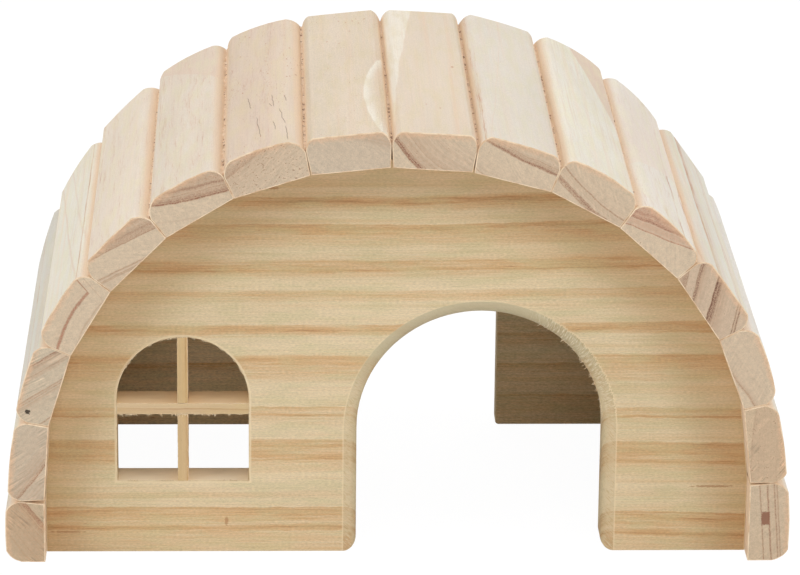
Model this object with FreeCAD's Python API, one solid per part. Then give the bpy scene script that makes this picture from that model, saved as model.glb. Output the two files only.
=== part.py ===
import FreeCAD, Part
import math
import os

# A small pet house of untreated pine. Two upright boards stand one behind the other, and slats are
# glued across their edges from the floor on one side, over the top, to the floor on the other.
# Millimetres. +Z is up, the door and the window face -Y, and the origin is on the floor in the
# middle of the footprint.

# Front board, from its left edge to its right edge
window_post = 19.5        # wood between the left edge and the window
window_width = 35.7
middle_post = 29.3        # wood between the window and the door
door_width = 67.0
door_post = 39.7          # wood between the door and the right edge
door_height = 68.5
window_sill = 20.7        # height of the window's lower edge
window_height = 41.3
foot_rounding = 3.5       # corners where the door posts meet the floor

# Back board
back_door_width = 64.2
back_door_height = 68.5
back_foot_rounding = 1.0

# Both boards
board_thickness = 9.8
room_depth = 90.0         # between the two boards
door_rounding = 3.6       # quarter round along the outer edge of each door

# Roof line, which is the edge of both boards: upright legs, tight shoulders and a flatter crown
leg_height = 23.5
crown_radius = 137.0
crown_half_angle = 9.0    # degrees each side of the top

# Slats
slat_count = 16
slat_thickness = 10.2
foot_slat_thickness = 11.2
slat_rounding = 3.3       # the two outer long edges
slat_overhang = 8.0       # past the outer face of each board
joint_gap = 0.15          # between two slats where they meet
left_foot_slat = 17.6     # width of the slat on the left foot, sawn narrower than the others

# Cross in the window
bar_width = 2.9
bar_height = 3.1
bar_middle = 41.5         # height of the middle of the level bar
lap_clearance = 0.05      # on each face of the halved joint

same_place = 0.001        # two points nearer than this are one point

# Worked out from the sizes above
half_span = (window_post + window_width + middle_post + door_width + door_post) / 2
crown_angle = math.radians(crown_half_angle)
shoulder_angle = math.pi / 2 - crown_angle
shoulder_radius = (half_span - crown_radius * math.sin(crown_angle)) / (1 - math.sin(crown_angle))
slat_length = room_depth + 2 * (board_thickness + slat_overhang)
front_face = -room_depth / 2 - board_thickness
back_face = room_depth / 2 + board_thickness
window_left = -half_span + window_post
window_centre = window_left + window_width / 2
door_centre = half_span - door_post - door_width / 2

# The slats meet where the rounding of their outer edges begins. They are laid from the right foot
# at one pitch along the roof line, and their sides lean out so that they close up on the shoulders.
meeting_height = slat_thickness - slat_rounding
roof_length = 2 * (leg_height + (shoulder_radius + meeting_height) * shoulder_angle
                   + (crown_radius + meeting_height) * crown_angle)
slat_pitch = (roof_length - left_foot_slat) / (slat_count - 1)
side_lean = slat_pitch / 2 / (shoulder_radius + meeting_height)


def at(x, z, y=0.0):
    return FreeCAD.Vector(x, y, z)


def heading_vector(heading):
    return at(math.cos(heading), math.sin(heading))


def roof_point(distance):
    """Point where slats meet, at a distance along the roof line from the right foot."""
    shoulder = ((shoulder_radius + meeting_height) * shoulder_angle, shoulder_angle)
    crown = ((crown_radius + meeting_height) * 2 * crown_angle, 2 * crown_angle)
    leg = (leg_height, 0)
    place = at(half_span + meeting_height, 0)
    heading = math.pi / 2
    for length, turn in (leg, shoulder, crown, shoulder, leg):
        run = min(distance, length)
        distance -= run
        swept = turn * run / length
        chord = run
        if swept > 0:
            chord = 2 * run / swept * math.sin(swept / 2)
        place = place + heading_vector(heading + swept / 2) * chord
        heading += swept
    return place


def slat_seats():
    """Meeting points of each slat with its neighbours, from the right foot to the left foot."""
    starts = [place * slat_pitch for place in range(slat_count)]
    ends = [start + slat_pitch - joint_gap for start in starts[:-1]] + [roof_length]
    return [(roof_point(start), roof_point(end)) for start, end in zip(starts, ends)]


def slat_corner(meeting_point, sideways, outward, lift, on_floor):
    """Corner of a slat, lift above its meeting point. A side on the floor is cut level."""
    corner = meeting_point + outward * lift
    if on_floor:
        return corner - sideways * (corner.z / sideways.z)
    return corner + sideways * (lift * math.tan(side_lean))


def slat_section(seat, thickness, starts_on_floor, ends_on_floor):
    """Corners of a slat's end: inner start, inner end, outer end and outer start."""
    start, end = seat
    along = (end - start).normalize()
    outward = at(along.z, -along.x)
    back = along * -1
    inner = -meeting_height
    outer = thickness - meeting_height
    return [
        slat_corner(start, back, outward, inner, starts_on_floor),
        slat_corner(end, along, outward, inner, ends_on_floor),
        slat_corner(end, along, outward, outer, ends_on_floor),
        slat_corner(start, back, outward, outer, starts_on_floor),
    ]


def plate(wire, front, thickness):
    """Solid between the plane y = front and the plane one thickness behind it."""
    flat = Part.Face(wire)
    flat.translate(FreeCAD.Vector(0, front, 0))
    return flat.extrude(FreeCAD.Vector(0, thickness, 0))


def polygon(corners):
    return Part.makePolygon(corners + corners[:1])


def slat(section):
    """Slat with its two outer long edges rounded."""
    body = plate(polygon(section), -slat_length / 2, slat_length)
    outer_corners = section[2:]
    long_edges = []
    for edge in body.Edges:
        first, last = [vertex.Point for vertex in edge.Vertexes]
        if abs(first.y - last.y) < slat_length / 2:
            continue
        nearest = min((at(first.x, first.z) - corner).Length for corner in outer_corners)
        if nearest < same_place:
            long_edges.append(edge)
    return body.makeFillet(slat_rounding, long_edges)


def crossing(first_line, second_line):
    """Point where two lines in the upright plane cross, each given by two of its points."""
    first, first_end = first_line
    second, second_end = second_line
    run = first_end - first
    other = second_end - second
    between = second - first
    share = (between.x * other.z - between.z * other.x) / (run.x * other.z - run.z * other.x)
    return first + run * share


def board_outline(sections):
    """Board edge with one flat for each slat, closed along the floor."""
    flats = [(section[0], section[1]) for section in sections]
    corners = [flats[0][0]]
    for lower, upper in zip(flats, flats[1:]):
        corners.append(crossing(lower, upper))
    corners.append(flats[-1][1])
    return polygon(corners)


def arched_outline(centre, bottom, width, height):
    """Straight sides under a half circle."""
    radius = width / 2
    spring = bottom + height - radius
    left = centre - radius
    right = centre + radius
    crown = Part.Arc(at(left, spring), at(centre, bottom + height), at(right, spring))
    return Part.Wire([
        Part.makeLine(at(left, bottom), at(left, spring)),
        crown.toShape(),
        Part.makeLine(at(right, spring), at(right, bottom)),
        Part.makeLine(at(right, bottom), at(left, bottom)),
    ])


def foot_corner(post_edge, side, front, radius):
    """What the rounding takes off the foot of a door post. side is +1 where the wood lies at +X."""
    centre = at(post_edge + side * radius, radius)
    square = polygon([
        at(post_edge, 0),
        at(post_edge + side * radius, 0),
        centre,
        at(post_edge, radius),
    ])
    round_wire = Part.Wire(Part.makeCircle(radius, centre, FreeCAD.Vector(0, 1, 0)))
    return plate(square, front, board_thickness).cut(plate(round_wire, front, board_thickness))


def board_with_door(outline, front, outer_face, centre, width, height, foot_radius):
    """Board with an arched door, rounded along the door's edge on its outer face."""
    opening = plate(arched_outline(centre, 0, width, height), front, board_thickness)
    body = plate(outline, front, board_thickness).cut(opening)
    around_door = opening.BoundBox
    around_door.enlarge(same_place)
    door_edges = []
    for edge in body.Edges:
        on_face = max(abs(vertex.Y - outer_face) for vertex in edge.Vertexes) < same_place
        if on_face and around_door.isInside(edge.BoundBox):
            door_edges.append(edge)
    body = body.makeFillet(door_rounding, door_edges)
    body = body.cut(foot_corner(centre - width / 2, -1, front, foot_radius))
    return body.cut(foot_corner(centre + width / 2, 1, front, foot_radius))


def window_opening():
    outline = arched_outline(window_centre, window_sill, window_width, window_height)
    return plate(outline, front_face, board_thickness)


def front_board(outline):
    body = board_with_door(outline, front_face, front_face, door_centre, door_width, door_height,
                           foot_rounding)
    return body.cut(window_opening())


def back_board(outline):
    inner_face = back_face - board_thickness
    return board_with_door(outline, inner_face, back_face, 0, back_door_width, back_door_height,
                           back_foot_rounding)


def bar_box(width, height, centre, middle, front, depth):
    corner = at(centre - width / 2, middle - height / 2, front)
    return Part.makeBox(width, depth, height, corner)


def crossed_bars():
    """Upright and level bar, trimmed to the window and halved into each other."""
    half_depth = board_thickness / 2
    lap_width = bar_width + 2 * lap_clearance
    lap_height = bar_height + 2 * lap_clearance
    window_middle = window_sill + window_height / 2
    upright = bar_box(bar_width, window_height, window_centre, window_middle, front_face,
                      board_thickness)
    level = bar_box(window_width, bar_height, window_centre, bar_middle, front_face,
                    board_thickness)
    front_lap = bar_box(bar_width, lap_height, window_centre, bar_middle, front_face,
                        half_depth + lap_clearance)
    back_lap = bar_box(lap_width, bar_height, window_centre, bar_middle,
                       front_face + half_depth, half_depth)
    upright = upright.common(window_opening()).cut(front_lap)
    level = level.common(window_opening()).cut(back_lap)
    return upright, level


def save(name, shape):
    solids = shape.Solids
    whole = solids[0] if len(solids) == 1 else Part.makeCompound(solids)
    whole.exportStep("parts/" + name + ".step")


os.makedirs("parts", exist_ok=True)

seats = slat_seats()
sections = [slat_section(seat, slat_thickness, False, False) for seat in seats[1:-1]]
sections.insert(0, slat_section(seats[0], foot_slat_thickness, True, False))
sections.append(slat_section(seats[-1], foot_slat_thickness, False, True))
outline = board_outline(sections)

save("front_board", front_board(outline))
save("back_board", back_board(outline))
upright_bar, level_bar = crossed_bars()
save("window_bar_upright", upright_bar)
save("window_bar_level", level_bar)

# Slats are numbered from the left foot to the right foot
for number, section in enumerate(reversed(sections), start=1):
    save("roof_slat_%02d" % number, slat(section))
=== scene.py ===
import math

import bmesh
import bpy
from mathutils import Matrix, Vector, noise


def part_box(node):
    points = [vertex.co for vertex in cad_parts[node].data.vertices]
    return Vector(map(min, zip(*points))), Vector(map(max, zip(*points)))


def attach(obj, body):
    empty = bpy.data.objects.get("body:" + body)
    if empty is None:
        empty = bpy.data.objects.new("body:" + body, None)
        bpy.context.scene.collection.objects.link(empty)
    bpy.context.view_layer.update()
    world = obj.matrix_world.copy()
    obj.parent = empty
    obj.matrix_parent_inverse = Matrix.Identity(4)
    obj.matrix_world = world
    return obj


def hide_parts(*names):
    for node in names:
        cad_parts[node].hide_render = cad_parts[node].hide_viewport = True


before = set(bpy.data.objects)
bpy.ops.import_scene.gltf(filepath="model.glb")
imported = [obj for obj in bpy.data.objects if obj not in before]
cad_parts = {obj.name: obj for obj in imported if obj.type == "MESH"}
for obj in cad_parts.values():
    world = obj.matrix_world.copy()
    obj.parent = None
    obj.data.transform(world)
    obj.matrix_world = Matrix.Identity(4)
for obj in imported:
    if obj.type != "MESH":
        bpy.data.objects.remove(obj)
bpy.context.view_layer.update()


# ---- Front board ----
# One planed pine board with level grain, sawn to the roof's curve, with an arched door cut up from
# the floor and an arched window beside it. The edge of the door is rounded over with a router,
# the other arrises are only broken with sandpaper.

MM = 0.001
BODY = "root"
BOARD_ARRIS = 0.22
DULLNESS = 0.3              # specular level of bare wood and of glue


def math_node(operation, reflected=False):
    """A method that puts its value and what it is given through a Math node, in that order or, if
    reflected, the other way round."""
    def method(value, *others):
        terms = (*others, value) if reflected else (value, *others)
        return value.tree.node("ShaderNodeMath", {"operation": operation}, terms)
    return method


class Value:
    """An output of a node. Arithmetic on it adds Math nodes to its tree."""

    def __init__(self, tree, socket):
        self.tree = tree
        self.socket = socket

    __add__ = __radd__ = math_node("ADD")
    __sub__ = math_node("SUBTRACT")
    __rsub__ = math_node("SUBTRACT", reflected=True)
    __mul__ = __rmul__ = math_node("MULTIPLY")
    __truediv__ = math_node("DIVIDE")
    __rtruediv__ = math_node("DIVIDE", reflected=True)
    __abs__ = math_node("ABSOLUTE")
    least = math_node("MINIMUM")
    most = math_node("MAXIMUM")
    root = math_node("SQRT")
    angle_over = math_node("ARCTAN2")
    above = math_node("GREATER_THAN")

    def as_share(self):
        return self.most(0).least(1)

    def ramp(self, start, end):
        """0 at start and before it, 1 at end and past it, eased between. End may be lower."""
        low, high = min(start, end), max(start, end)
        settings = {"interpolation_type": "SMOOTHSTEP"}
        rise = self.tree.node("ShaderNodeMapRange", settings, (self, low, high))
        return rise if start < end else 1 - rise


class NodeTree:
    """A node tree under construction."""

    def __init__(self, tree):
        self.tree = tree
        tree.nodes.clear()

    def node(self, kind, settings=None, inputs=(), output=0):
        """A node with its settings, a ramp's stops among them, and its sockets' values or links."""
        made = self.tree.nodes.new(kind)
        for setting, value in (settings or {}).items():
            if setting == "stops":
                elements = made.color_ramp.elements
                elements[0].position, elements[1].position = value[0][0], value[-1][0]
                elements[0].color, elements[1].color = value[0][1], value[-1][1]
                for position, colour in value[1:-1]:
                    elements.new(position).color = colour
            else:
                setattr(made, setting, value)
        pairs = inputs.items() if isinstance(inputs, dict) else enumerate(inputs)
        for key, value in pairs:
            if isinstance(value, Value):
                self.tree.links.new(value.socket, made.inputs[key])
            else:
                made.inputs[key].default_value = value
        return Value(self, made.outputs[output]) if made.outputs else None

    def vector(self, x, y, z):
        return self.node("ShaderNodeCombineXYZ", None, (x, y, z))

    def parts(self, vector):
        """The three numbers of a vector or a colour."""
        sockets = self.node("ShaderNodeSeparateXYZ", None, (vector,)).socket.node.outputs
        return [Value(self, socket) for socket in sockets]

    def dot(self, first, second):
        settings = {"operation": "DOT_PRODUCT"}
        return self.node("ShaderNodeVectorMath", settings, (first, second), 1)

    def on_piece(self):
        """A point's place on the piece."""
        return self.node("ShaderNodeTexCoord", None, (), 3)

    def noise(self, place, detail=2.0, roughness=0.5, scale=1.0):
        inputs = {"Vector": place, "Scale": scale, "Detail": detail, "Roughness": roughness}
        return self.node("ShaderNodeTexNoise", None, inputs)

    def mix(self, share, first, second):
        """A colour between two, each of them another node's or a swatch."""
        inputs = {0: share, 6: paint(first), 7: paint(second)}
        return self.node("ShaderNodeMix", {"data_type": "RGBA"}, inputs, 2)

    def toned(self, share, colour, tone):
        """A colour multiplied by a tone, as far as share says."""
        settings = {"data_type": "RGBA", "blend_type": "MULTIPLY"}
        return self.node("ShaderNodeMix", settings, {0: share, 6: colour, 7: tone}, 2)

    def shaded(self, colour, shade):
        """A colour made lighter or darker by a factor."""
        inputs = {"Vector": colour, "Scale": shade}
        return self.node("ShaderNodeVectorMath", {"operation": "SCALE"}, inputs)

    def surface(self, colour, roughness, height, strength, relief):
        """Ends a material's tree. The relief is in millimetres."""
        bump = self.node("ShaderNodeBump", None,
                         {"Strength": strength, "Distance": relief * MM, "Height": height})
        surface = self.node("ShaderNodeBsdfPrincipled", None,
                            {"Base Color": colour, "Roughness": roughness, "Normal": bump,
                             "Specular IOR Level": DULLNESS})
        self.node("ShaderNodeOutputMaterial", None, (surface,))


def paint(colour):
    """A swatch given as 0 to 255, as the renderer counts light. A node's colour stays as it is."""
    if isinstance(colour, Value):
        return colour
    shares = [channel / 255 for channel in colour]
    return [s / 12.92 if s <= 0.04045 else ((s + 0.055) / 1.055) ** 2.4 for s in shares] + [1.0]


def new_material(name):
    """A material and the tree that its nodes are made in."""
    material = bpy.data.materials.new(name)
    material.use_nodes = True
    return material, NodeTree(material.node_tree)


class Log:
    """How a piece lay in the log it was sawn from. Lengths in millimetres, colours as swatches.
    The piece's own directions are back (along the grain), across and outward."""

    rings = None            # places of the dark summer wood: growth, and darkness up to 2
    ring_step = None        # growth outward from the pith, per millimetre across and outward
    ring_bend = 0.0         # curve of the rings
    drift = 0.01            # growth per millimetre along the grain
    wander = 1.6            # how far the rings stray
    ragged = 0.5            # how far their edges wobble
    lean = None             # how the rings spread to the right: per square mm, from which
    kink = None             # where the rings turn up sharply, and how steeply
    seed = 0.0

    early = None            # spring wood
    late = None             # summer wood
    line = (160, 112, 72)   # its darkest
    end_early = (215, 194, 167)
    end_late = (191, 160, 133)
    end_line = (146, 100, 78)
    flush = None            # warmer streaks, else derived from early
    tinge = None            # faint patches of another hue, else derived from early
    tinged = 0.4            # how plain these patches are
    crack = (140, 104, 82)

    blazes = ()             # colour bands on the long faces: across at the front, across at
                            # the back, bow, reach to one side, and strength (below 0 is pale)
    blaze_run = 125         # from front to back
    blaze_pink = (226, 200, 178)
    blaze_pale = (240, 232, 216)
    checks = ()             # drying cracks: across, back from, back to, and lean
    specks = ()             # dark specks on the long faces: across and back
    speck_size = (0.6, 0.26)
    knots = ()              # pin knots there: across, back, half length and half width
    scar = None             # dark spot on the end: across, outward, half width, half height
    scar_colour = None      # else end_line

    grain_contrast = 0.12
    grit = 0.14
    hairy = 0.3             # how plain the thin darker hairs between the rings are
    fleck = 0.3             # and the short dark dashes
    relief = 0.10
    saw_way = (0.7, 0.7)    # the saw marks' direction on an end
    saw_marks = 0.16
    pitted = 0.70           # the lower, the more pits an end has
    blush = 0.0             # warmer tone of an end near its outer edge
    end_blush = None
    shoulder = None         # colour of the rounded long edges, as painted shade and warm bounce light
    sawn = None             # colour of the faces at right angles to the outer face, painted pale as painted light

    roof_shade_arc = None          # half span and height of the arc near which shade under the roof is painted
    roof_shade_tones = ((0.82, 0.74, 0.66, 1), (0.91, 0.90, 0.86, 1))
    painted_room_shade = None        # painted shade: a deeper tone of the inner face towards one side
    board_thickness = None
    routed = None           # door cut round over: centre, spring, radius and reach
    routed_wood = ((216, 196, 160), (196, 168, 124))
    # painted shade: the top of the door's rounding faces down and is painted greyer
    routed_top_shade = (194, 183, 152)
    routed_foot = (188, 138, 86)
    torn_up = (242, 232, 206)
    torn_out = (182, 156, 114)
    crease_highlight = (240, 219, 180)  # painted highlight where the rounding meets the face
    window = None           # its painted highlight round the opening: centre, sill, half width, spring and reach
    # painted highlight round the window's edge
    rim = (240, 219, 182)

    def __init__(self, **differences):
        for fact, value in differences.items():
            setattr(self, fact, value)
        red, green, blue = self.early
        self.flush = self.flush or (red + 2, green * 0.965, blue * 0.93)
        self.tinge = self.tinge or (red * 0.985, green * 0.98, blue * 0.88)


def from_arch(place, centre, spring):
    """How far a point is beside an arch's middle, above its spring, and from both together."""
    length, across, out = place
    beside = length - centre
    above = (across - spring).most(0)
    return beside, above, (beside * beside + above * above).root()


def routed_edge(wood, log, place, face):
    """A face with a door's rounded edge in it, which is pale and torn where it crosses the grain, with
    painted shade on the top of the rounding and a painted highlight where it meets the face.
    """
    length, across, out = place
    centre, spring, radius, reach = log.routed
    beside, above, off = from_arch(place, centre, spring)
    off = off - radius
    turn = (across - spring).angle_over(beside)
    tear = wood.vector(turn * (radius / 0.36) - off / 1.5, off / 2.2, log.seed)
    tear = wood.noise(tear, 3.0, 0.7)
    torn = turn.ramp(0.02, 0.2) * turn.ramp(1.3, 0.9)
    off = off + torn * (tear - 0.5) * 3.0
    outer_side = out.ramp(-reach - 0.6, -reach)
    strip = off.ramp(reach + 0.12, reach - 0.12) * outer_side
    diagonal = wood.vector((length + across) / 0.45, (length - across) / 3.2, log.seed)
    marks = wood.noise(diagonal, 2.0, 0.6)
    pale = wood.mix(marks.ramp(0.5, 0.66), *log.routed_wood)
    high = above.ramp(radius * 0.15, radius * 0.8)
    # Painted shade on the top of the rounding, which faces down
    pale = wood.mix(high * 0.85, pale, log.routed_top_shade)
    pale = wood.mix(tear.ramp(0.52, 0.62) * torn * 0.8, pale, log.torn_up)
    pale = wood.mix(tear.ramp(0.47, 0.4) * torn * 0.7, pale, log.torn_out)
    worn = across.ramp(7, 3) * marks.ramp(0.35, 0.55)
    pale = wood.mix(worn * 0.9, pale, log.routed_foot)
    face = wood.mix(strip * (high * 0.25 + 0.55), face, pale)
    # Painted highlight where the rounding meets the face
    crease_highlight = abs(off - reach - 0.1).ramp(0.28, 0.1) * (torn * 0.5 + 0.5 - high * 0.4)
    return wood.mix(crease_highlight * outer_side, face, log.crease_highlight)


def window_highlight(wood, log, place, stray, face):
    """A face with a painted highlight round the edge of an arched window in it."""
    centre, sill, half_width, spring, reach = log.window
    off = from_arch(place, centre, spring)[2] - half_width
    off = off.most(sill - place[1]) + stray * 0.5
    return wood.mix(off.ramp(reach + 0.2, reach - 0.1) * 0.75, face, log.rim)


def painted_roof_shade(wood, log, place, face):
    """A face painted darker near the arc of the roof: painted shade where the roof's overhang keeps light
    off.
    """
    length, across = place[:2]
    half_span, height = log.roof_shade_arc
    reach = length / half_span * (length / half_span) + across / height * (across / height)
    reach = reach.root()
    near, farther = log.roof_shade_tones
    # Painted shade, deepest close under the arc and fainter farther down
    face = wood.toned(reach.ramp(0.81, 0.985), face, near)
    return wood.toned(reach.ramp(0.58, 0.8) * 0.7, face, farther)


def pine(name, seat, grain, outward, log):
    """Sawn pine. The rings fill the solid, so faces, rounded edges and ends agree. Grain points
    from the back of the piece to its seat, from which back, across and outward are counted."""
    material, wood = new_material(name)
    upright = Vector(outward).cross(Vector(grain))
    turn = Matrix((Vector(grain), upright, Vector(outward))).transposed().to_euler()
    local = wood.node("ShaderNodeMapping", {"vector_type": "TEXTURE"},
                      (wood.on_piece(), seat, turn, (MM, MM, MM)))
    place = length, across, out = wood.parts(local)
    back = 0 - length

    def grained(along, wide, shift=0, detail=2.0, roughness=0.6):
        """Noise drawn out along the grain. Each use has a shift of its own."""
        spot = wood.vector(length / along + (log.seed + shift), across / wide, out / wide)
        return wood.noise(spot, detail, roughness)

    # Growth, which is the distance from the pith less the seat's own
    step_across, step_out = log.ring_step
    along_ring = across * step_out - out * step_across
    growth = across * step_across + out * step_out + along_ring * along_ring * log.ring_bend
    growth = growth + back * log.drift
    if log.kink:
        start, rise = log.kink
        growth = growth - (across - start).most(0) * rise
    growth = growth + (grained(120, 60, roughness=0.5) - 0.5) * (2 * log.wander)
    growth = growth + (grained(17, 9, 7) - 0.5) * (0.8 * log.wander)
    growth = growth + (grained(4.5, 1.4, 17) - 0.5) * log.ragged
    if log.lean:
        spread, level = log.lean
        growth = growth + length.most(0) * (level - across) * spread

    # Summer wood, dark and fading back towards the spring wood before it
    summer = None
    for ring in log.rings:
        low, high = ring[0][0], ring[-1][0]
        stops = [((spot - low) / (high - low), [dark / 2] * 3 + [1.0]) for spot, dark in ring]
        share = (growth - low) / (high - low)
        part = wood.parts(wood.node("ShaderNodeValToRGB", {"stops": stops}, (share,)))[0]
        summer = part if summer is None else summer + part
    patchy = wood.noise(wood.vector(length / 22 + log.seed, growth / 1.1, 4.7), 3.0, 0.6)
    fine = wood.noise(wood.vector(length / 30, growth / 0.5, log.seed), 3.0, 0.7)
    dark = summer * 2 * (patchy * 1.5 + 0.25)
    thread = grained(11, 0.22, 23).ramp(0.52, 0.72)
    dark = dark + (fine - 0.5) * (dark * 1.8 + 0.7) + thread * (dark * 0.7 + 0.05)

    # Faces along the grain
    fibre = grained(26, 0.34, 3, 3.0, 0.62)
    streak = grained(140, 2.6, 13, 3.0, 0.55)
    cloud = grained(60, 13, 29, roughness=0.5)
    face = wood.mix(streak.ramp(0.45, 0.75), log.early, log.flush)
    face = wood.mix(dark.as_share(), face, log.late)
    face = wood.mix((dark - 1).as_share(), face, log.line)
    for front, rear, bow, reach, strength in log.blazes:
        run = back / log.blaze_run
        edge = across - (run * (rear - front) + run * (1 - run) * (4 * bow) + front)
        edge = edge + (grained(26, 6, 71, roughness=0.5) - 0.5) * 1.6 + (fine - 0.5) * 0.7
        side = edge if reach > 0 else 0 - edge
        mask = side.ramp(0, 0.5) * side.ramp(abs(reach), abs(reach) * 0.15) * abs(strength)
        face = wood.mix(mask, face, log.blaze_pink if strength > 0 else log.blaze_pale)
        outline = abs(side - 0.1).ramp(0.5, 0.1) * patchy.ramp(0.35, 0.6) * (0.45 * abs(strength))
        face = wood.mix(outline, face, log.late)
    grit = grained(0.9, 0.33, 83, roughness=0.65) - 0.5
    face = wood.mix(grained(14, 3.5, 91).ramp(0.4, 0.68) * log.tinged, face, log.tinge)
    face = wood.mix(grained(34, 0.5, 101).ramp(0.54, 0.74) * log.hairy, face, log.late)
    # Painted shade and warm bounce light on the rounded long edges
    if log.shoulder:
        low = out + (grained(40, 3, 97) - 0.5) * 1.2
        low = low.ramp(log.thickness[1] - 0.9, log.thickness[1] - 2.4)
        face = wood.mix(low * 0.7, face, log.shoulder)
    shade = (fibre - 0.5) * log.grain_contrast + (cloud - 0.5) * 0.14 + grit * log.grit + 1
    dash = grained(2.0, 0.26, 41, 1.0, 0.5).ramp(0.66, 0.76)
    dash = dash * grained(26, 5, 53, 1.0, 0.5).ramp(0.42, 0.66) * (dark + 0.5) * log.fleck
    face = wood.mix(dash, wood.shaded(face, shade), log.line)

    # Faces across the grain
    mottle = wood.noise(wood.vector(length, across / 1.1, out / 1.1), 3.0, 0.6)
    pores = wood.noise(wood.vector(length, across / 0.3, out / 0.3), 1.0)
    saw_spot = (across * log.saw_way[0] + out * log.saw_way[1]) / 0.46
    saw = wood.noise(wood.vector(saw_spot, across / 6, log.seed), 1.0)
    saw_patch = wood.noise(wood.vector(log.seed, across / 5, out / 5), 1.0).ramp(0.42, 0.62)
    end_dark = dark * 0.9 + (pores - 0.5) * (summer * 4.4)
    end_face = wood.mix(end_dark.as_share(), log.end_early, log.end_late)
    end_face = wood.mix((end_dark - 0.9).as_share(), end_face, log.end_line)
    if log.blush:
        rim = (out + (mottle - 0.5) * 1.5).ramp(log.thickness[1] - 2.2, log.thickness[1] - 0.3)
        end_face = wood.mix(rim * log.blush, end_face, log.end_blush)
    marks = (saw - 0.5) * (saw_patch * log.saw_marks)
    end_face = wood.shaded(end_face, (mottle - 0.5) * 0.36 + (pores - 0.5) * 0.36 + marks + 1)
    pits = wood.noise(wood.vector(log.seed, across / 0.5, out / 0.38), 1.0)
    pits = pits.ramp(log.pitted, log.pitted + 0.08)
    end_face = wood.mix(pits * (mottle.ramp(0.4, 0.6) * 0.6), end_face, log.end_line)

    # Cracks, knots and the scar
    for start, far, near, lean in log.checks:
        run = back - near
        off = across - run * lean - start + (grained(4, 40, 61, roughness=0.5) - 0.5) * 0.8
        reach = (far - near) / 2
        crack = abs(run - reach).ramp(reach, reach * 0.6) * abs(off).ramp(0.17, 0.05)
        face = wood.mix(crack * 0.7, face, log.crack)
    for level, behind, half_run, half_rise in (
            *log.knots, *((level, behind, *log.speck_size) for level, behind in log.specks)):
        along, aside = (back - behind) / half_run, (across - level) / half_rise
        spot = along * along + aside * aside + (grit * 3)
        face = wood.mix(spot.ramp(1.3, 0.3) * 0.7, face, log.line)
    if log.scar:
        scar_across, scar_out, half_width, half_height = log.scar
        torn = (pores - 0.5) * 0.9
        scar = abs(across - scar_across + torn).ramp(half_width, half_width * 0.75)
        scar = scar * abs(out - scar_out + torn).ramp(half_height, half_height * 0.75)
        end_face = wood.mix(scar * back.ramp(3, 1) * 0.92, end_face,
                            log.scar_colour or log.end_line)

    if log.routed:
        face = routed_edge(wood, log, place, face)
    if log.window:
        face = window_highlight(wood, log, place, fibre - 0.5, face)
    if log.roof_shade_arc:
        face = painted_roof_shade(wood, log, place, face)
    # Painted shade on the inner face, deeper towards the right, which is seen through the door
    if log.painted_room_shade:
        inner = out.ramp(-log.board_thickness + 1.5, -log.board_thickness + 0.5)
        face = wood.toned(inner * back.ramp(12, 34), face, log.painted_room_shade)

    normal = wood.node("ShaderNodeNewGeometry", None, (), 3)
    end = abs(wood.dot(normal, Vector(grain))).ramp(0.5, 0.9)
    # Painted light: faces at right angles to the outer face, such as sills, are painted paler than the
    # wood
    if log.sawn:
        side = abs(wood.dot(normal, Vector(outward))).ramp(0.4, 0.15)
        face = wood.mix(side * 0.9, face, log.sawn)
    height = (fibre * 0.6 + dark * 0.3 - dash) * (1 - end)
    height = height + (pores * 0.3 + saw * 0.4 + mottle * 0.5) * end
    roughness = (fibre - 0.5) * 0.12 + end * 0.12 + 0.6
    wood.surface(wood.mix(end, face, end_face), roughness, height, 0.6, log.relief)
    return material


def sanded_arris(name, highlight_colour, plain):
    """Broken arris, paler in patches where torn fibres catch the light; the paler colour is partly a
    painted highlight.
    """
    material, wood = new_material(name)
    place = wood.on_piece()
    torn = wood.noise(place, scale=1600)
    share = (wood.noise(place, scale=260) * 0.7 + torn * 0.3).ramp(0.36, 0.6)
    wood.surface(wood.mix(share, plain, highlight_colour), torn * 0.2 + 0.65, torn, 0.7, 0.1)
    return material


def in_scene(name, data):
    """A new object in the scene."""
    made = bpy.data.objects.new(name, data)
    bpy.context.scene.collection.objects.link(made)
    return made


def joined_copy(node_name, piece_name):
    """A copy of a solid's mesh with its triangles joined into whole faces."""
    mesh = bpy.data.meshes.new(piece_name)
    shape = bmesh.new()
    shape.from_mesh(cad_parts[node_name].data)
    bmesh.ops.remove_doubles(shape, verts=shape.verts, dist=0.002 * MM)
    bmesh.ops.dissolve_limit(shape, angle_limit=math.radians(0.5), verts=shape.verts,
                             edges=shape.edges)
    shape.to_mesh(mesh)
    shape.free()
    return in_scene(piece_name, mesh)


def applied(piece):
    """Turns what a piece's modifiers give into its plain mesh."""
    bpy.context.view_layer.update()
    evaluated = piece.evaluated_get(bpy.context.evaluated_depsgraph_get())
    mesh = bpy.data.meshes.new_from_object(evaluated)
    piece.modifiers.clear()
    piece.data = mesh


def finished(piece, arris, wood, edge_wood):
    """Breaks the arrises, gives the wood, and shades curved faces smooth."""
    piece.data.materials.clear()
    piece.data.materials.append(wood)
    piece.data.materials.append(edge_wood)
    shape = bmesh.new()
    shape.from_mesh(piece.data)
    sharp = [edge for edge in shape.edges if edge.calc_face_angle(0) > math.radians(40)]
    bmesh.ops.bevel(shape, geom=sharp, offset=arris * MM, segments=2, profile=0.7,
                    affect="EDGES", clamp_overlap=True, material=1)
    shape.to_mesh(piece.data)
    shape.free()
    piece.data.shade_smooth()
    piece.data.set_sharp_from_angle(angle=math.radians(50))
    even = piece.modifiers.new("flat faces", "WEIGHTED_NORMAL")
    even.keep_sharp = True
    applied(piece)


# The arrises' paler colour is partly a painted highlight.
board_arris = sanded_arris("sanded_board_arris", (232, 212, 176), (214, 188, 146))


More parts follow.
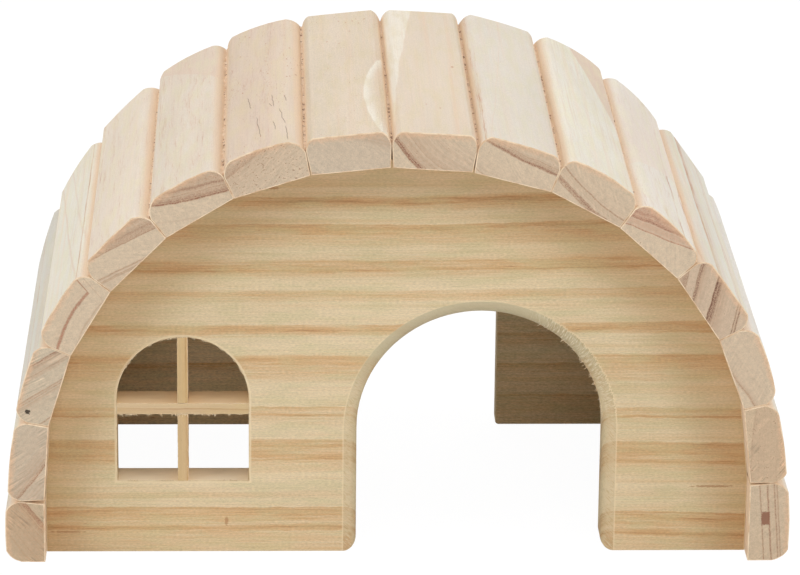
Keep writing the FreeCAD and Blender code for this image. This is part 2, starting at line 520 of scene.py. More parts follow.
def board(node_name, facing, log):
    """A board that faces the front (-1) or the back (1)."""
    low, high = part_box(node_name)
    face = low.y if facing < 0 else high.y
    piece = joined_copy(node_name, node_name + "_planed")
    wood = pine(node_name + "_pine", (0, face, 0), (-facing, 0, 0), (0, facing, 0), log)
    finished(piece, BOARD_ARRIS, wood, board_arris)
    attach(piece, BODY)
    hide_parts(node_name)


class BoardLog(Log):
    """The stock that both boards were sawn from."""

    tinge = (206, 196, 150)
    # painted light on the faces at right angles to the outer face
    sawn = (255, 236, 205)
    end_early = (216, 198, 160)
    end_late = (200, 168, 124)
    end_line = (168, 124, 86)
    ragged = 0.9
    saw_marks = 0.08


front_log = BoardLog(
    ring_step=(1.0, -0.9), drift=0.0, lean=(0.0006, 50), wander=0.8, seed=4.0, early=(230, 209, 173),
    late=(214, 175, 127), line=(185, 137, 93), flush=(223, 195, 154), grain_contrast=0.28, grit=0.58,
    fleck=0.5, roof_shade_arc=(95.6, 112), routed=(22.4, 35, 33.5, 3.6),
    window=(-58.25, 20.7, 17.85, 44.15, 0.6),
    knots=[(8.9, 46.5, 0.55, 1.5), (5.8, 90, 5, 0.3), (18.8, -86, 6, 0.35), (104, 34, 2, 0.4)],
    rings=[
        [(-12, 0), (-4, 0.3), (0, 0.35), (4, 0.3), (6.0, 0.4), (6.5, 0.85), (7.0, 1.2), (7.6, 0.7),
         (8.6, 0.3), (9.4, 0.7), (11, 0.85), (12.4, 0.8), (12.9, 1.0), (13.15, 0.1), (16, 0)],
        [(22, 0), (24.5, 0.3), (26.3, 0.45), (26.7, 0.9), (28.4, 0.75), (30, 0.8), (32, 0.95), (32.5, 0.6),
         (32.8, 0), (37, 0.05), (39.1, 0.35), (39.6, 1.1), (40.2, 0.35), (41.4, 0.6), (41.9, 0.7),
         (42.2, 0), (46, 0)],
        [(49, 0), (50, 0.3), (53, 0.55), (55, 0.8), (56.2, 0.95), (56.7, 0.5), (57, 0), (62.2, 0),
         (62.9, 0.6), (63.8, 1.0), (64.6, 0.8), (65.3, 0.75), (65.7, 0), (71.4, 0), (72.6, 0.35),
         (73.8, 0.55), (74.8, 0.45), (75.2, 0)],
        [(78, 0), (79, 0.1), (80.2, 0.5), (80.8, 1.1), (81.4, 0.8), (83.2, 0.75), (83.8, 0.2), (86.6, 0),
         (88.6, 0.35), (91, 0.6), (92.9, 1.0), (93.6, 0.9), (94, 0.1), (97.2, 0), (99.2, 0.7),
         (100.3, 1.3), (101.2, 0.9), (102, 0.1), (104, 0)],
    ])
board("front_board", -1, front_log)


# ---- Back board ----
# The same stock as the front board, with an arched door in its middle and no window. The door's
# outer edge is rounded over as in front.

back_log = BoardLog(
    ring_step=(1.0, 0.6), drift=-0.006, wander=1.3, seed=19.0, early=(240, 216, 176),
    late=(220, 176, 122), line=(188, 132, 84), flush=(234, 202, 156), grain_contrast=0.40, grit=0.95,
    fleck=0.7, painted_room_shade=(0.75, 0.73, 0.68, 1), board_thickness=9.8, routed=(0, 36.4, 32.1, 3.6),
    rings=[
        [(-12, 0.2), (1, 0.3), (3.5, 0.7), (4, 0.2), (10, 0.2), (12.5, 0.6), (13.2, 0.8), (13.7, 0.1),
         (18, 0.1), (20, 0.4), (22.5, 0.7), (23.1, 0.2), (29, 0.2), (31, 0.6), (31.8, 0.1), (37, 0.1),
         (39.5, 0.5), (41, 0.7), (41.6, 0.2), (48, 0.3), (50.5, 0.6), (51.2, 0.2), (57, 0.2)],
        [(59, 0), (61, 0.5), (61.8, 0.1), (68, 0.2), (71, 0.6), (72, 0.9), (72.5, 0.1), (78, 0.1),
         (80, 0.6), (80.7, 0.1), (85, 0.2), (88, 0.6), (89, 0.8), (89.5, 0.1), (95, 0.1), (98, 0.6),
         (98.6, 0), (104, 0.2), (107, 0.7), (107.6, 0), (122, 0)],
    ])
board("back_board", 1, back_log)


# ---- Cross in the window ----
# Two thin sawn sticks, halved into each other where they cross and glued into the window flush
# with both faces of the board. They are left as they came from the saw.

STICK_ARRIS = 0.26
STICK_STATIONS = 70
SAW_BITE = 0.34
SAW_BITES = ((2.6, 7, 6, 0.6), (0.7, 3, 3, 0.5))    # long and short: run, shift, width and share

# The arrises' paler colour is partly a painted highlight.
stick_arris = sanded_arris("sawn_stick_arris", (255, 242, 218), (238, 212, 170))


def sawn_rough(piece, grain, sideways):
    """Lets the saw's bites show along the two sides of a stick that face into the window."""
    shape = bmesh.new()
    shape.from_mesh(piece.data)
    places = [corner.co.dot(grain) for corner in shape.verts]
    middle = sum(corner.co.dot(sideways) for corner in shape.verts) / len(shape.verts)
    low, high = min(places), max(places)
    for station in range(1, STICK_STATIONS):
        place = grain * (low + (high - low) * station / STICK_STATIONS)
        bmesh.ops.bisect_plane(shape, geom=shape.verts[:] + shape.edges[:] + shape.faces[:],
                               plane_co=place, plane_no=grain)
    for corner in shape.verts:
        aside = 1 if corner.co.dot(sideways) < middle else -1
        place, deep = corner.co.dot(grain) / MM, corner.co.y / MM
        bite = sum(max(noise.noise((place / run, aside * shift, deep / width)), 0) * share
                   for run, shift, width, share in SAW_BITES)
        corner.co += sideways * (aside * SAW_BITE * MM * bite)
    shape.to_mesh(piece.data)
    shape.free()


class StickLog(Log):
    """The stick that both bars of the cross were cut from."""

    rings = [[(-8, 0), (-2, 0.2), (-0.8, 0.7), (-0.6, 0), (0.6, 0.2), (1.1, 0.8), (1.3, 0), (8, 0)]]
    ring_bend = 0.004
    wander = 0.7
    # painted light on the faces at right angles to the outer face
    sawn = (250, 220, 178)
    fleck = 0.6


def window_stick(node_name, grain, log):
    """A bar of the cross, sawn along its grain."""
    low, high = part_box(node_name)
    piece = joined_copy(node_name, node_name + "_stick")
    sawn_rough(piece, Vector(grain), Vector(grain).zyx)
    wood = pine(node_name + "_pine", (low + high) / 2, grain, (0, -1, 0), log)
    finished(piece, STICK_ARRIS, wood, stick_arris)
    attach(piece, BODY)
    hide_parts(node_name)


window_stick("window_bar_upright", (0, 0, 1), StickLog(
    ring_step=(1.0, 0.4), seed=31.0,
    early=(214, 184, 140), late=(200, 158, 108), flush=(220, 186, 136)))
window_stick("window_bar_level", (1, 0, 0), StickLog(
    ring_step=(1.0, 0.2), drift=-0.01, seed=37.0,
    early=(218, 191, 151), late=(198, 158, 116), flush=(214, 184, 140)))


# ---- Roof slats ----
# Sixteen planed slats of pale pine, rounded along their two outer edges and glued across both
# boards. Their ends are cut with a fine saw and hardly sanded, so each end shows its rings.

SLAT_ARRIS = 0.30
SLAT_STATIONS = 70
SANDING = 0.10
SQUEEZE = 0.065             # each side swells this far into the joint
CHIP_DEPTH = 0.08
END_SHIFT = 0.35
SHOULDER_STEPS = 7
CROWN_STEPS = (0.17, 0.33, 0.5, 0.67, 0.83)


class Slat(Log):
    """A slat's wood and the section of its end. Its thickness is taken at the left shoulder, in
    the middle and at the right shoulder. A shoulder has a width on top and a depth at the side."""

    fullness = 0.48             # how far a shoulder swells towards the corner it took off
    early = (231, 219, 203)
    late = (227, 208, 187)
    line = (200, 152, 116)
    grit = 0.24
    ragged = 0.35
    blush = 0.6
    end_blush = (226, 186, 150)
    # painted shade and warm bounce light on the rounded long edges
    shoulder = (238, 209, 177)
    hairy = 0.7
    saw_marks = 0.32

    def __init__(self, thickness, left, right, **differences):
        super().__init__(thickness=thickness, left=left, right=right, **differences)


slats = [
    Slat((10.6, 10.8, 10.6), (3.2, 4.2), (3.4, 3.7), ring_step=(0.64, -0.77), early=(222, 214, 200),
         end_early=(202, 179, 149), end_late=(190, 154, 122), saw_way=(0.75, -0.65), saw_marks=1.1,
         rings=[[(-16, 0.1), (-8, 0.35), (0.2, 0.6), (0.5, 1.4), (0.8, 0.9), (1.5, 1.3), (1.8, 0),
                 (16, 0)]]),
    Slat((10.1, 10.0, 9.3), (3.0, 3.9), (2.6, 3.4), ring_step=(0.565, 0.825), early=(222, 214, 200),
         end_early=(207, 189, 165), saw_way=(0.8, 0.6), saw_marks=1.0,
         rings=[[(-16, 0.2), (-2, 0.35), (-0.7, 0.2), (-0.4, 1.5), (0, 0.8), (2, 0.4), (5, 0.15),
                 (16, 0)]]),
    Slat((9.7, 10.1, 9.9), (3.2, 3.8), (3.4, 4.0), ring_step=(0.65, 0.76), ring_bend=0.001,
         early=(218, 214, 203), late=(216, 205, 190), end_early=(208, 191, 166), saw_marks=1.0,
         scar=(-8.1, 6.6, 0.62, 0.7), scar_colour=(52, 42, 34),
         rings=[[(-16, 0.2), (-5, 0.2), (-4.7, 1.2), (-4.4, 0), (0, 0.2), (1.8, 0.6), (1.95, 1.3),
                 (2.2, 0.3), (2.6, 1.0), (2.9, 0), (6, 0.1), (7.4, 0.6), (7.6, 0.3), (9.6, 0.7),
                 (9.85, 1.7), (10.2, 0), (16, 0.1)]]),
    Slat((10.3, 10.6, 10.1), (3.3, 4.0), (3.4, 3.8), ring_step=(0.02, 1.0), ring_bend=0.014,
         kink=(7.3, 3.0), early=(235, 229, 214), end_line=(176, 118, 94),
         blazes=[(9.5, -7, 0, -1.2, 0.8), (15, -1, 0, -1.0, 0.7)],
         rings=[[(-16, 0), (0.3, 0), (0.7, 0.6), (1.2, 0), (4.9, 0), (5.25, 1.45), (5.7, 1.3), (6.1, 0.1),
                 (16, 0)]]),
    Slat((10.4, 10.7, 10.5), (3.2, 4.2), (4.0, 4.2), ring_step=(0.30, 0.954), early=(237, 226, 210),
         late=(234, 217, 198),
         rings=[[(-16, 0), (-0.4, 0.2), (0.3, 0.9), (0.6, 0.2), (1.3, 1.0), (1.6, 0), (7.2, 0), (7.5, 1.2),
                 (7.8, 0.8), (11, 0.7), (16, 0.5)]]),
    Slat((11.0, 11.1, 10.2), (4.3, 4.4), (3.3, 3.5), ring_step=(0.309, 0.951), ring_bend=-0.0045,
         early=(230, 221, 206), late=(228, 211, 192), blazes=[(66, -11, 0, 40, 0.6)],
         rings=[[(-16, 0), (0, 0), (0.6, 0.3), (0.9, 0), (5.3, 0.05), (5.6, 1.6), (5.9, 0.85), (8, 0.7),
                 (8.6, 1.0), (9.2, 0.7), (12, 0.8), (16, 0.6)]]),
    Slat((10.3, 11.1, 10.7), (3.2, 4.0), (4.2, 4.2), ring_step=(-0.36, 0.93), early=(226, 208, 186),
         late=(221, 198, 178), fleck=1.8, saw_way=(-0.6, 0.8), saw_marks=0.4, pitted=0.59,
         specks=[(9.9, 68), (7.7, 63.7), (8.4, 64.6), (2.3, 71.2), (-6, 99), (-4.6, 119), (-3.2, 116),
                 (7.9, 75), (8.5, 94)],
         checks=[(3.9, 49.8, 35.9, -0.043), (7.3, 45.8, 39.1, -0.045), (-2.6, 53.7, 40.1, -0.066),
                 (7.2, 35, 17, -0.106), (7.6, 17, 1.6, -0.026), (0.4, 32.3, 10.3, -0.068),
                 (4.5, 23.5, 13.7, -0.082), (3.4, 41.1, 37.3, -0.24)],
         rings=[[(-16, 0), (0.8, 0.1), (1.2, 0.3), (1.5, 0.1), (3.8, 0.2), (4.1, 0.4), (4.4, 0.1),
                 (6.5, 0.3), (9, 0.4), (10.4, 0.8), (16, 0.3)]]),
    Slat((10.1, 10.2, 10.2), (2.5, 3.4), (2.8, 3.9), ring_step=(0.34, 0.94), early=(221, 204, 181),
         end_early=(209, 190, 166), grit=0.36, fleck=1.2, saw_marks=0.3, pitted=0.66,
         blazes=[(9.0, 31.6, -13.0, 3.4, -0.85)],
         specks=[(-0.5, 116), (1.5, 114), (3.4, 115), (5.2, 112), (6.9, 116), (2.4, 104), (-4.2, 95),
                 (-0.8, 92)],
         rings=[[(-16, 0), (-2.9, 0), (-2.6, 1.2), (-2.3, 0), (8, 0.1), (9.8, 0.5), (12, 0.3),
                 (16, 0.2)]]),
    Slat((10.1, 10.2, 10.2), (2.9, 3.7), (2.4, 3.7), ring_step=(0.57, 0.82), ring_bend=-0.012,
         early=(224, 208, 188), blazes=[(-10.5, -2.4, -1.2, -30, -0.75)], knots=[(7.1, 67, 1.1, 0.5)],
         specks=[(-1.5, 28), (2.1, 25)],
         rings=[[(-16, 0), (-2.5, 0), (-2.2, 1.2), (-1.5, 1.5), (-1, 0.75), (2.5, 0.4), (9, 0.2),
                 (16, 0.1)]]),
    Slat((10.8, 10.7, 10.1), (3.2, 4.2), (3.0, 3.8), ring_step=(0.2, 0.98), ring_bend=-0.007,
         early=(227, 219, 205), late=(228, 214, 198), blazes=[(-9.5, -1, 1, 0.7, 0.7)],
         rings=[[(-16, 0), (-1.9, 0), (-1.6, 1.0), (-1.2, 0.2), (6.3, 0), (6.7, 1.2), (7.8, 0.9), (9, 0.4),
                 (16, 0.2)]]),
    Slat((10.7, 11.1, 9.8), (3.1, 4.1), (2.8, 3.4), ring_step=(0.242, 0.97), ring_bend=-0.0077,
         early=(237, 231, 217), blazes=[(20, -2, 0, 40, 0.8)],
         rings=[[(-16, 0), (0.1, 0.1), (0.5, 1.2), (1.6, 1.1), (1.9, 0.2), (3.6, 0.3), (3.9, 1.4),
                 (4.2, 0.2), (16, 0)]]),
    Slat((10.0, 10.2, 8.9), (3.6, 3.6), (2.6, 3.0), ring_step=(-0.33, 0.945), early=(240, 234, 224),
         late=(236, 225, 212), end_late=(202, 160, 134), blaze_pink=(237, 220, 205),
         blazes=[(-46, 67, 0, -90, 0.7)],
         rings=[[(-16, 0), (5.5, 0), (5.8, 1.4), (6.1, 0.5), (8, 0.45), (8.3, 1.3), (8.7, 0.8),
                 (16, 0.6)]]),
    Slat((9.9, 10.2, 10.4), (3.2, 3.6), (3.2, 3.8), ring_step=(0.743, 0.669), ring_bend=0.001,
         early=(231, 226, 214), late=(224, 208, 192), end_early=(208, 184, 158), end_line=(122, 84, 66),
         rings=[[(-16, 0.3), (-6.5, 0.6), (-5, 1.2), (-4.7, 0), (-2.7, 0), (-2.4, 1.7), (-1.6, 0.7),
                 (0.5, 0.1), (2.7, 0), (3, 1.9), (3.8, 1.2), (4.7, 0.8), (7, 0.2), (10.2, 0), (10.5, 1.5),
                 (10.8, 0.1), (11.3, 1.2), (11.6, 0), (16, 0)]]),
    Slat((10.4, 10.6, 9.8), (3.8, 4.4), (3.4, 3.6), ring_step=(-0.26, 0.966), ring_bend=0.002,
         early=(235, 231, 225), late=(226, 214, 200),
         rings=[[(-16, 0), (-0.1, 0), (0.2, 1.0), (1.1, 0.25), (6, 0.1), (16, 0.2)]]),
    Slat((9.4, 10.1, 10.2), (3.6, 3.6), (2.8, 3.6), ring_step=(0.17, 0.98), ring_bend=-0.006,
         early=(233, 229, 221), end_early=(210, 185, 154), saw_marks=1.0, pitted=0.62,
         rings=[[(-16, 0), (1.1, 0), (1.5, 0.7), (2.4, 0.3), (8, 0.35), (16, 0.1)]]),
    Slat((10.7, 11.2, 11.1), (3.4, 4.2), (3.2, 4.4), ring_step=(-0.075, 0.997), wander=0.5,
         end_early=(208, 186, 158), scar=(-1.5, 4.55, 2.15, 1.25),
         rings=[[(-16, 0), (3.3, 0), (3.6, 1.5), (3.9, 0), (5.3, 0), (5.65, 1.6), (6, 0.1), (7.2, 0.1),
                 (7.5, 1.5), (7.85, 0.1), (8.2, 0.9), (8.5, 0), (16, 0)]]),
]
# The arrises' paler colour is partly a painted highlight.
slat_arris = sanded_arris("sanded_slat_arris", (244, 222, 192), (222, 188, 152))


def geometry_group(name, **inputs):
    """A Geometry Nodes group, its tree, and its inputs, each of them given as NAME=KIND."""
    group = bpy.data.node_groups.new(name, "GeometryNodeTree")
    socket = group.interface.new_socket
    for label, kind in inputs.items():
        socket(label, in_out="INPUT", socket_type="NodeSocket" + kind)
    socket("Result", in_out="OUTPUT", socket_type="NodeSocketGeometry")
    tree = NodeTree(group)
    given = tree.node("NodeGroupInput").socket.node.outputs
    return group, tree, [Value(tree, output) for output in given if output.name]


def end_group(tree, shape, material):
    """Ends a Geometry Nodes tree with plain mesh of one material."""
    shape = tree.node("GeometryNodeRealizeInstances", None, (shape,))
    shape = tree.node("GeometryNodeSetMaterial", None, {"Geometry": shape, "Material": material})
    tree.node("NodeGroupOutput", None, (shape,))


def swept(tree, section, front, back, stations):
    """A section swept from front to back, with both ends closed."""
    outline = tree.node("GeometryNodeMeshToCurve", None, {"Mesh": section})
    run = tree.node("GeometryNodeCurvePrimitiveLine", None,
                    {"Start": tree.vector(0, front, 0), "End": tree.vector(0, back, 0)})
    run = tree.node("GeometryNodeResampleCurve", None, {"Curve": run, "Count": stations})
    return tree.node("GeometryNodeCurveToMesh", None,
                     {"Curve": run, "Profile Curve": outline, "Fill Caps": True})


def uneven(tree, seed, wide, along, detail, roughness=0.5):
    """Noise over a swept shape, as wide and as long as given in millimetres."""
    x, y, z = tree.parts(tree.node("GeometryNodeInputPosition"))
    spot = tree.vector(x / (wide * MM), y / (along * MM) + seed, z / (wide * MM))
    return tree.noise(spot, detail, roughness)


def slat_group():
    """Sweeps a slat's section along its length, sands it a little uneven and chips its edges."""
    group, tree, (section, front, back, sanding, seed, outward, wood) = geometry_group(
        "sanded slat", Section="Geometry", Front="Float", Back="Float", Sanding="Float",
        Seed="Float", Outward="Vector", Wood="Material")
    body = swept(tree, section, front, back, SLAT_STATIONS)
    normal = tree.node("GeometryNodeInputNormal")
    facing = tree.dot(normal, outward)
    hollow = uneven(tree, seed, 9, 34, 2.0) * facing.ramp(0.2, 0.7) * sanding
    chip = uneven(tree, seed, 4, 3, 1.0).ramp(0.56, 0.7) * abs(facing).ramp(0.5, 0.2)
    inward = tree.shaded(normal, 0 - hollow - chip * (CHIP_DEPTH * MM))
    body = tree.node("GeometryNodeSetPosition", None, {"Geometry": body, "Offset": inward})
    end_group(tree, body, wood)
    return group


def line_piece(name, points, closed):
    """A piece that is so far only a line through points."""
    corners = range(len(points) if closed else len(points) - 1)
    mesh = bpy.data.meshes.new(name)
    mesh.from_pydata(points, [(i, (i + 1) % len(points)) for i in corners], [])
    return in_scene(name, mesh)


def section_piece(name, outline):
    """A piece that is so far only its upright section, laid flat for the sweep."""
    return line_piece(name, [(point.x, -point.z, 0) for point in outline], True)


def grow(piece, group, **sizes):
    """Turns a piece's line into the mesh that a Geometry Nodes group makes of it."""
    identifiers = {item.name: item.identifier for item in group.interface.items_tree}
    modifier = piece.modifiers.new(group.name, "NODES")
    modifier.node_group = group
    for name, size in sizes.items():
        modifier[identifiers[name]] = size
    applied(piece)


def slat_seat(node_name):
    """Middle of the inner edge of a slat's front end, across, outward, and at the left and right
    the inner corner and the next one, both as across and outward in millimetres."""
    piece = joined_copy(node_name, "end_of_" + node_name)
    end = min(piece.data.polygons, key=lambda face: face.center.y)
    points = [piece.data.vertices[corner].co.copy() for corner in end.vertices]
    bpy.data.objects.remove(piece)
    lengths = [(points[i] - points[i - 1]).length for i in range(len(points))]
    i = lengths.index(max(lengths))
    sides = [(points[i - 1], points[i - 2]), (points[i], points[(i + 1) % len(points)])]
    seat = (points[i] + points[i - 1]) / 2
    outward = (points[i] - points[i - 1]).cross(Vector((0, 1, 0))).normalized()
    if outward.dot(sum(points, Vector()) / len(points) - seat) < 0:
        outward.negate()
    across = outward.cross(Vector((0, -1, 0)))
    flat = [[Vector(((point - seat).dot(across), (point - seat).dot(outward))) / MM
             for point in side] for side in sides]
    return seat, across, outward, sorted(flat, key=lambda side: side[0].x)


def slat_section(sides, joints, slat):
    """Outline of a slat's end, from its left inner corner over the top to the right one. The
    sides that meet another slat are squeezed into the joint."""
    halves = []
    for (corner, above), on_joint, (width, depth), thickness in zip(
            sides, joints, (slat.left, slat.right), (slat.thickness[0], slat.thickness[2])):
        lean = (above.x - corner.x) / (above.y - corner.y)
        inward = 1 if corner.x < 0 else -1
        if on_joint:
            corner = corner - Vector((inward * SQUEEZE, 0))
        edge = Vector((corner.x + lean * thickness, thickness))
        low = Vector((edge.x - lean * depth, thickness - depth))
        high = Vector((edge.x + inward * width, thickness))
        middle = (low + high) / 2
        pull = middle + (edge - middle) * slat.fullness
        steps = [step / SHOULDER_STEPS for step in range(SHOULDER_STEPS + 1)]
        halves.append([corner] + [low * (1 - t) ** 2 + pull * (2 * t * (1 - t)) + high * t ** 2
                                  for t in steps])
    left, right = halves
    start, end = left[-1], right[-1]
    crown = slat.thickness[1] - (start.y + end.y) / 2
    top = [start.lerp(end, t) + Vector((0, 4 * crown * t * (1 - t))) for t in CROWN_STEPS]
    return left + top + right[::-1]


def short_of_box(wave):
    """How far a slat's end stays inside the solid's, by a sine or cosine of its number."""
    return END_SHIFT * MM * (0.6 + 0.5 * wave)


sanded_slat = slat_group()
lips = []                       # of each slat, the low end of its left and its right shoulder
for number, slat in enumerate(slats, start=1):
    node_name = "roof_slat_%02d" % number
    low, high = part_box(node_name)
    seat, across, outward, sides = slat_seat(node_name)
    outline = [seat + across * (point.x * MM) + outward * (point.y * MM)
               for point in slat_section(sides, (number > 1, number < len(slats)), slat)]
    lips.append([(outline[1], outward), (outline[-2], outward)])
    piece = section_piece(node_name + "_sanded", outline)
    slat.seed = number * 5.37
    wood = pine(node_name + "_pine", (seat.x, low.y, seat.z), (0, -1, 0), outward, slat)
    grow(piece, sanded_slat, Front=low.y + short_of_box(math.sin(number * 2.4)),
         Back=high.y - short_of_box(math.cos(number * 1.7)), Sanding=SANDING * MM,
         Seed=number * 3.1, Outward=outward, Wood=wood)
    finished(piece, SLAT_ARRIS, wood, slat_arris)
    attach(piece, BODY)
    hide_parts(node_name)


# ---- Glue lines ----
# The glue between two slats squeezes up into the groove over their joint, where it sets with
# sanding dust in it. It stops just short of both ends.

GLUE_HEIGHT = 1.05
GLUE_HALF_WIDTH = 0.5
GLUE_SHORT_OF_END = 1.6
GLUE_STATIONS = 160
GLUE_SECTION = ((-0.12, -0.2), (-0.6, 0.5), (-1, 1.05), (-0.5, 0.95), (0, 0.85), (0.5, 0.95),
                (1, 1.05), (0.6, 0.5), (0.12, -0.2))    # shares of its half width and height
GLUE_SINK = 2.2


def glue_group():
    """Sweeps a thin bead along a joint and lets its surface sink here and there."""
    group, tree, (section, front, back, seed, outward, glue) = geometry_group(
        "glue line", Section="Geometry", Front="Float", Back="Float", Seed="Float",
        Outward="Vector", Glue="Material")
    bead = swept(tree, section, front, back, GLUE_STATIONS)
    sink = (uneven(tree, seed, 2, 2.6, 3.0, 0.65) - 0.4).most(0) * (-GLUE_SINK * MM)
    bead = tree.node("GeometryNodeSetPosition", None,
                     {"Geometry": bead, "Offset": tree.shaded(outward, sink)})
    end_group(tree, bead, glue)
    return group


def dusty_glue():
    """Set glue with pale dust in it, and dark pinholes."""
    material, glue = new_material("dusty_glue")
    place = glue.on_piece()
    dust = glue.noise(place, 3.0, scale=900)
    holes = glue.noise(place, 1.0, scale=640).ramp(0.57, 0.68)
    colour = glue.mix(dust.ramp(0.35, 0.65), (228, 196, 163), (240, 214, 186))
    glue.surface(glue.mix(holes * 0.85, colour, (132, 92, 66)), 0.7, dust, 0.8, 0.2)
    return material


def made_of(piece, material):
    """Gives a piece one material all over."""
    piece.data.polygons.foreach_set("material_index", [0] * len(piece.data.polygons))
    piece.data.materials.clear()
    piece.data.materials.append(material)


glue = dusty_glue()
glue_line = glue_group()
for number, (left_lips, right_lips) in enumerate(zip(lips, lips[1:]), start=1):
    (start, start_out), (end, end_out) = left_lips[1], right_lips[0]
    outward = (start_out + end_out).normalized()
    middle = (start + end) / 2
    sideways = outward.cross(Vector((0, -1, 0)))
    section = [middle + sideways * (GLUE_HALF_WIDTH * MM * wide)
               + outward * (GLUE_HEIGHT * MM * tall) for wide, tall in GLUE_SECTION]
    piece = section_piece("glue_line_%02d" % number, section)
    low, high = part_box("roof_slat_%02d" % number)
    grow(piece, glue_line, Front=low.y + GLUE_SHORT_OF_END * MM,
         Back=high.y - GLUE_SHORT_OF_END * MM, Seed=number * 7.3, Outward=outward, Glue=glue)
    made_of(piece, glue)
    piece.data.shade_smooth()
    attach(piece, BODY)


# ---- Torn fibres ----
# Where the saw and the router ran across the grain, fibres hang on as a short fringe: under the
# level bar of the window, over its sill and arch, and round the right of the door's arch.

FIBRE_THICKNESS = 0.27
FIBRE_LENGTH = 0.85
FIBRE_SPACING = 0.3
FIBRE_SEED = 5
DOOR_FRINGE = (0.2, 2.6)    # how far outside the arch's radius, and behind the face


def fringe_group():
    """Sets pointed fibres along an edge in patches, each leaning its own way."""
    group, tree, (edge, spacing, thickness, length, lean, seed, wood) = geometry_group(
        "fringe", Edge="Geometry", Spacing="Float", Thickness="Float", Length="Float",
        Lean="Vector", Seed="Int", Wood="Material")
    edge = tree.node("GeometryNodeMeshToCurve", None, {"Mesh": edge})
    edge = tree.node("GeometryNodeResampleCurve", {"mode": "LENGTH"},
                     {"Curve": edge, "Length": spacing})
    fibre = tree.node("GeometryNodeMeshCone", None,
                      {"Vertices": 4, "Radius Top": 0.1, "Radius Bottom": 0.5, "Depth": 1.0})
    stray = tree.node("FunctionNodeRandomValue", {"data_type": "FLOAT_VECTOR"},
                      {"Min": (-0.7, -0.5, -0.4), "Max": (0.7, 0.3, 0.4), "Seed": seed})
    lean = tree.node("ShaderNodeVectorMath", {"operation": "ADD"}, (lean, stray))
    turn = tree.node("FunctionNodeAlignRotationToVector", {"axis": "Z"}, {"Vector": lean})
    reach = tree.node("FunctionNodeRandomValue", {"data_type": "FLOAT"},
                      {2: 0.1, 3: 1.2, "Seed": seed}, 1)
    scale = tree.vector(thickness, thickness, reach * length)
    x, y, z = tree.parts(tree.node("GeometryNodeInputPosition"))
    spot = tree.vector(x / (2 * MM) + seed, y / (2 * MM), z / (2 * MM))
    patch = tree.noise(spot, 1.0).above(0.5)
    fringe = tree.node("GeometryNodeInstanceOnPoints", None,
                       {"Points": edge, "Selection": patch, "Instance": fibre, "Rotation": turn,
                        "Scale": scale})
    end_group(tree, fringe, wood)
    return group


fringe = fringe_group()
torn_fibre = sanded_arris("torn_fibre", (236, 218, 186), (214, 188, 150))
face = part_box("front_board")[0].y
bar_low, bar_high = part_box("window_bar_level")
arch_low, arch_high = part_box("window_bar_upright")
arch_radius = (bar_high.x - bar_low.x) / 2
arch_middle = Vector(((bar_low.x + bar_high.x) / 2, face, arch_high.z - arch_radius))
door_centre, door_spring, door_radius = front_log.routed[:3]
door_middle = Vector((door_centre, face / MM + DOOR_FRINGE[1], door_spring)) * MM
door_radius = (door_radius + DOOR_FRINGE[0]) * MM


def around(middle, radius, start, end, steps=24):
    """Places on an arc in the upright plane, from a start to an end in degrees."""
    turns = [math.radians(start + (end - start) * step / steps) for step in range(steps + 1)]
    return [middle + Vector((math.cos(turn), 0, math.sin(turn))) * radius for turn in turns]


def level_edge(height):
    """The window's edge at a height, a millimetre short of both corners."""
    return [Vector((x, face, height)) for x in (bar_low.x + MM, bar_high.x - MM)]


for name, lean, reach, edge in (
        ("under_level_bar", (0.2, -0.1, -1), 0.9, level_edge(bar_low.z)),
        ("over_sill", (0.6, -0.1, 0.8), 0.5, level_edge(arch_low.z)),
        ("window_arch", (0, -0.2, -1), 0.6, around(arch_middle, arch_radius, 25, 150)),
        ("door_arch", (-1, -0.2, -0.5), 1.1, around(door_middle, door_radius, 4, 62))):
    piece = line_piece("fibres_" + name, edge, False)
    grow(piece, fringe, Spacing=FIBRE_SPACING * MM, Thickness=FIBRE_THICKNESS * MM,
         Length=FIBRE_LENGTH * reach * MM, Lean=lean, Seed=FIBRE_SEED, Wood=torn_fibre)
    made_of(piece, torn_fibre)
    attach(piece, BODY)


# ---- Floor, light and camera ----
# A pale studio sweep under soft light from all round, strongest from both sides. The camera sees
# the sweep and the air above it as white.

FLOOR_REACH = 6.0
ROOM_LIGHT = 0.30
WHITE = (1, 1, 1, 1)


def seen_white(tree, output, plain, white):
    """Ends a tree in a shader that is plain to the light and white to the camera."""
    seen = tree.node("ShaderNodeLightPath")
    tree.node(output, None, (tree.node("ShaderNodeMixShader", None, (seen, plain, white)),))


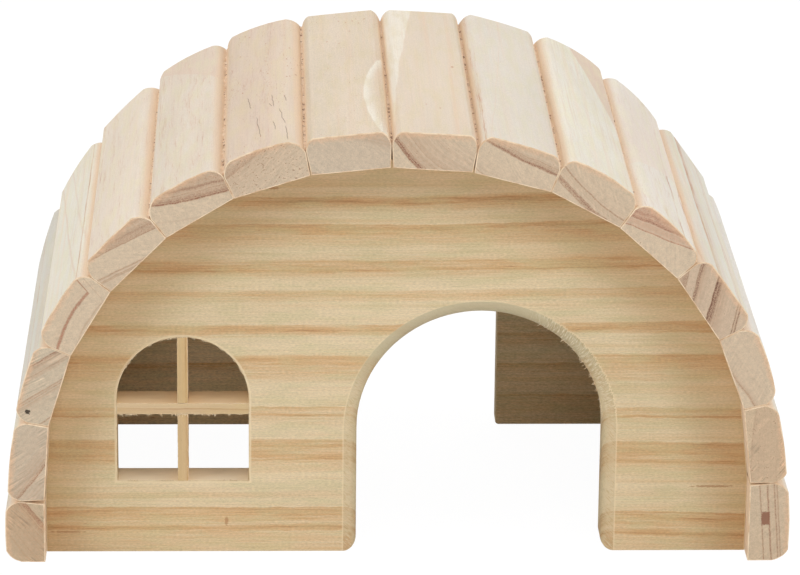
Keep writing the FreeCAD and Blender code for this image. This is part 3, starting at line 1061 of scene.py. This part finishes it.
floor_mesh = bpy.data.meshes.new("floor")
floor_mesh.from_pydata([(FLOOR_REACH * x, FLOOR_REACH * y, 0)
                        for x, y in ((-1, -1), (1, -1), (1, 1), (-1, 1))], [], [(0, 1, 2, 3)])
floor = in_scene("floor", floor_mesh)
floor_paper, paper = new_material("floor_paper")
plain = paper.node("ShaderNodeBsdfDiffuse", None, {"Color": (0.86, 0.86, 0.86, 1)})
faint = paper.node("ShaderNodeBsdfDiffuse", None, {"Color": (0.07, 0.07, 0.07, 1)})
glow = paper.node("ShaderNodeEmission", None, {"Color": WHITE, "Strength": 0.97})
white = paper.node("ShaderNodeAddShader", None, (faint, glow))
seen_white(paper, "ShaderNodeOutputMaterial", plain, white)
floor_mesh.materials.append(floor_paper)

studio = bpy.data.worlds.new("studio")
studio.use_nodes = True
bpy.context.scene.world = studio
air = NodeTree(studio.node_tree)
room = air.node("ShaderNodeBackground", None, {"Color": WHITE, "Strength": ROOM_LIGHT})
white = air.node("ShaderNodeBackground", None, {"Color": WHITE, "Strength": 1.0})
seen_white(air, "ShaderNodeOutputWorld", room, white)


def softbox(name, place, size, power):
    """A soft lamp that points at the middle of the house."""
    lamp = bpy.data.lights.new(name, "AREA")
    lamp.shape = "RECTANGLE"
    lamp.size, lamp.size_y = size
    lamp.energy = power
    holder = in_scene(name, lamp)
    holder.location = place
    aim = Vector((0, 0, 0.05)) - Vector(place)
    holder.rotation_euler = aim.to_track_quat("-Z", "Y").to_euler()


softbox("overhead", (0.0, -0.15, 1.60), (1.2, 0.9), 1.6)
softbox("behind", (0.0, 1.25, 0.95), (1.6, 0.8), 7)
softbox("front", (0.0, -0.85, 1.35), (1.2, 0.7), 3.7)
softbox("front_low", (-0.08, -1.45, 0.38), (0.6, 0.3), 2.5)
softbox("left", (-1.25, -0.35, 0.90), (1.1, 1.0), 9.8)
softbox("right", (1.25, -0.35, 0.90), (1.1, 1.0), 9.5)

CAMERA_PLACE = (-0.03614, -1.15604, 0.44496)
CAMERA_DOWN = 18.509
CAMERA_RIGHT = 1.892
CAMERA_ROLL = 0.586
LENS = 194.78               # on a frame 36 wide

camera_data = bpy.data.cameras.new("camera")
camera_data.lens = LENS
camera_data.sensor_width = 36
camera_data.clip_start = 0.05
camera = in_scene("camera", camera_data)
camera.matrix_world = (Matrix.Translation(CAMERA_PLACE)
                       @ Matrix.Rotation(math.radians(-CAMERA_RIGHT), 4, "Z")
                       @ Matrix.Rotation(math.radians(90 - CAMERA_DOWN), 4, "X")
                       @ Matrix.Rotation(math.radians(CAMERA_ROLL), 4, "Z"))
bpy.context.scene.camera = camera
bpy.context.scene.view_settings.view_transform = "Standard"
